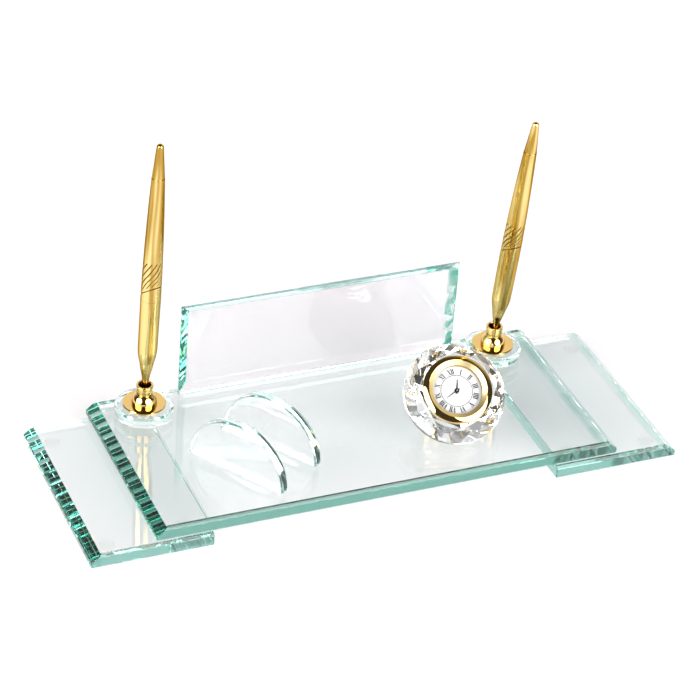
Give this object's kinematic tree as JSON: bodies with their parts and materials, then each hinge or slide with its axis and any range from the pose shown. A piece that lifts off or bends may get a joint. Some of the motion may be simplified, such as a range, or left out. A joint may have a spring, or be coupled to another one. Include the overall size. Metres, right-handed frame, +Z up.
{
  "type": "glass desk set with pens, card stand and clock",
  "caption": "Stepped jade-glass desk base with an upright plate, a half-disc card stand, swivelling gold pens in ball sockets and a clock set in a diamond-cut crystal.",
  "frame": {"origin": "on the desk, under the middle of the whole set, at the underside of the bumpers", "axes": "+X along the length towards the right pen, +Y towards the upright plate at the back, +Z up"},
  "size_m": [0.356, 0.1274, 0.1937],
  "materials": {
    "jade_glass": "polished, green at the edges",
    "clear_glass": "polished",
    "crystal": "faceted and polished",
    "lens_glass": "polished",
    "clear_bumper": "clear satin",
    "gold_socket": "polished gold plate",
    "gold_pen": "polished gold plate",
    "gold_rings": "polished gold plate",
    "gold_bezel": "polished gold plate",
    "gold_case": "satin gold plate",
    "plain_brass": "turned brass",
    "steel": "fine turned",
    "black_nylon": "matte",
    "movement_plastic": "moulded",
    "grip_plastic": "moulded",
    "refill_plastic": "moulded",
    "white_dial": "matt lacquer",
    "black_hand": "gloss lacquer"
  },
  "bodies": {
    "base": {"lower_plate_left": "jade_glass", "lower_plate_right": "jade_glass", "upper_plate": "jade_glass", "upright_plate": "jade_glass", "card_leaf_front": "jade_glass", "card_leaf_rear": "jade_glass", "foot_pads": "clear_bumper", "pen_disc_left": "clear_glass", "pen_disc_right": "clear_glass", "pen_socket_left": "gold_socket", "pen_socket_right": "gold_socket", "socket_plug_left": "plain_brass", "socket_plug_right": "plain_brass", "clock_crystal": "crystal"},
    "pen_left_swivel": {"pen_seat_left": "black_nylon"},
    "pen_left": {"pen_left_nose_cone": "gold_pen", "pen_left_lower_barrel": "gold_pen", "pen_left_joint_ring": "gold_rings"},
    "pen_left_top": {"pen_left_upper_barrel": "gold_pen", "pen_left_twist_sleeve": "plain_brass", "pen_left_top_ring": "gold_rings", "pen_left_top_cone": "gold_pen"},
    "pen_left_refill": {"pen_left_refill_point": "steel", "pen_left_refill_tube": "refill_plastic", "pen_left_refill_carrier": "black_nylon"},
    "pen_right_swivel": {"pen_seat_right": "black_nylon"},
    "pen_right": {"pen_right_nose_cone": "gold_pen", "pen_right_lower_barrel": "gold_pen", "pen_right_joint_ring": "gold_rings"},
    "pen_right_top": {"pen_right_upper_barrel": "gold_pen", "pen_right_twist_sleeve": "plain_brass", "pen_right_top_ring": "gold_rings", "pen_right_top_cone": "gold_pen"},
    "pen_right_refill": {"pen_right_refill_point": "steel", "pen_right_refill_tube": "refill_plastic", "pen_right_refill_carrier": "black_nylon"},
    "clock": {"clock_bezel": "gold_bezel", "clock_lens": "lens_glass", "clock_spacer": "gold_rings", "clock_dial": "white_dial", "movement_case": "gold_case", "grip_ring": "grip_plastic", "movement_block": "movement_plastic", "case_back": "steel", "button_cell": "steel", "battery_hatch": "steel"},
    "minute": {"minute_hand": "black_hand", "minute_arbor": "steel"},
    "hour": {"hour_hand": "black_hand", "hour_pipe": "plain_brass"},
    "knob": {"setting_knob": "black_nylon"}
  },
  "joints": [
    {"name": "pen_left_lean", "type": "hinge", "parent": "base", "child": "pen_left_swivel", "pos_m": [-0.1113, 0.0453, 0.0276], "axis": [0.4226, 0.9063, 0], "range_deg": [-12.8, 10.1]},
    {"name": "pen_left_lift", "type": "slide", "parent": "pen_left_swivel", "child": "pen_left", "axis": [0.0214, -0.01, 0.9997], "range_m": [0, 0.06]},
    {"name": "pen_left_twist", "type": "hinge", "parent": "pen_left", "child": "pen_left_top", "pos_m": [-0.1113, 0.0453, 0.0276], "axis": [0.0214, -0.01, 0.9997], "range_deg": [0, 180]},
    {"name": "pen_left_point", "type": "slide", "parent": "pen_left", "child": "pen_left_refill", "axis": [-0.0214, 0.01, -0.9997], "range_m": [0, 0.0028]},
    {"name": "pen_right_lean", "type": "hinge", "parent": "base", "child": "pen_right_swivel", "pos_m": [0.1081, 0.0438, 0.0276], "axis": [0.9877, -0.1564, 0], "range_deg": [-21.6, 1.4]},
    {"name": "pen_right_lift", "type": "slide", "parent": "pen_right_swivel", "child": "pen_right", "axis": [-0.0274, -0.1732, 0.9845], "range_m": [0, 0.06]},
    {"name": "pen_right_twist", "type": "hinge", "parent": "pen_right", "child": "pen_right_top", "pos_m": [0.1081, 0.0438, 0.0276], "axis": [-0.0274, -0.1732, 0.9845], "range_deg": [0, 180]},
    {"name": "pen_right_point", "type": "slide", "parent": "pen_right", "child": "pen_right_refill", "axis": [0.0274, 0.1732, -0.9845], "range_m": [0, 0.0028]},
    {"name": "clock_pull", "type": "slide", "parent": "base", "child": "clock", "axis": [-0.1336, -0.6287, 0.766], "range_m": [0, 0.025]},
    {"name": "minute_turn", "type": "hinge", "parent": "clock", "child": "minute", "pos_m": [0.05466, -0.01586, 0.03709], "axis": [0.1336, 0.6287, -0.766], "continuous": true},
    {"name": "hour_turn", "type": "hinge", "parent": "clock", "child": "hour", "pos_m": [0.05466, -0.01586, 0.03709], "axis": [0.1336, 0.6287, -0.766], "continuous": true},
    {"name": "knob_turn", "type": "hinge", "parent": "clock", "child": "knob", "pos_m": [0.06249, -0.01752, 0.03709], "axis": [0.1336, 0.6287, -0.766], "continuous": true}
  ],
  "couplings": [
    {"joint": "pen_left_point", "follows": "pen_left_twist", "m_per_rad": 0.000827},
    {"joint": "pen_right_point", "follows": "pen_right_twist", "m_per_rad": 0.000827},
    {"joint": "minute_turn", "follows": "knob_turn", "ratio": -1},
    {"joint": "hour_turn", "follows": "knob_turn", "ratio": -0.083333}
  ]
}
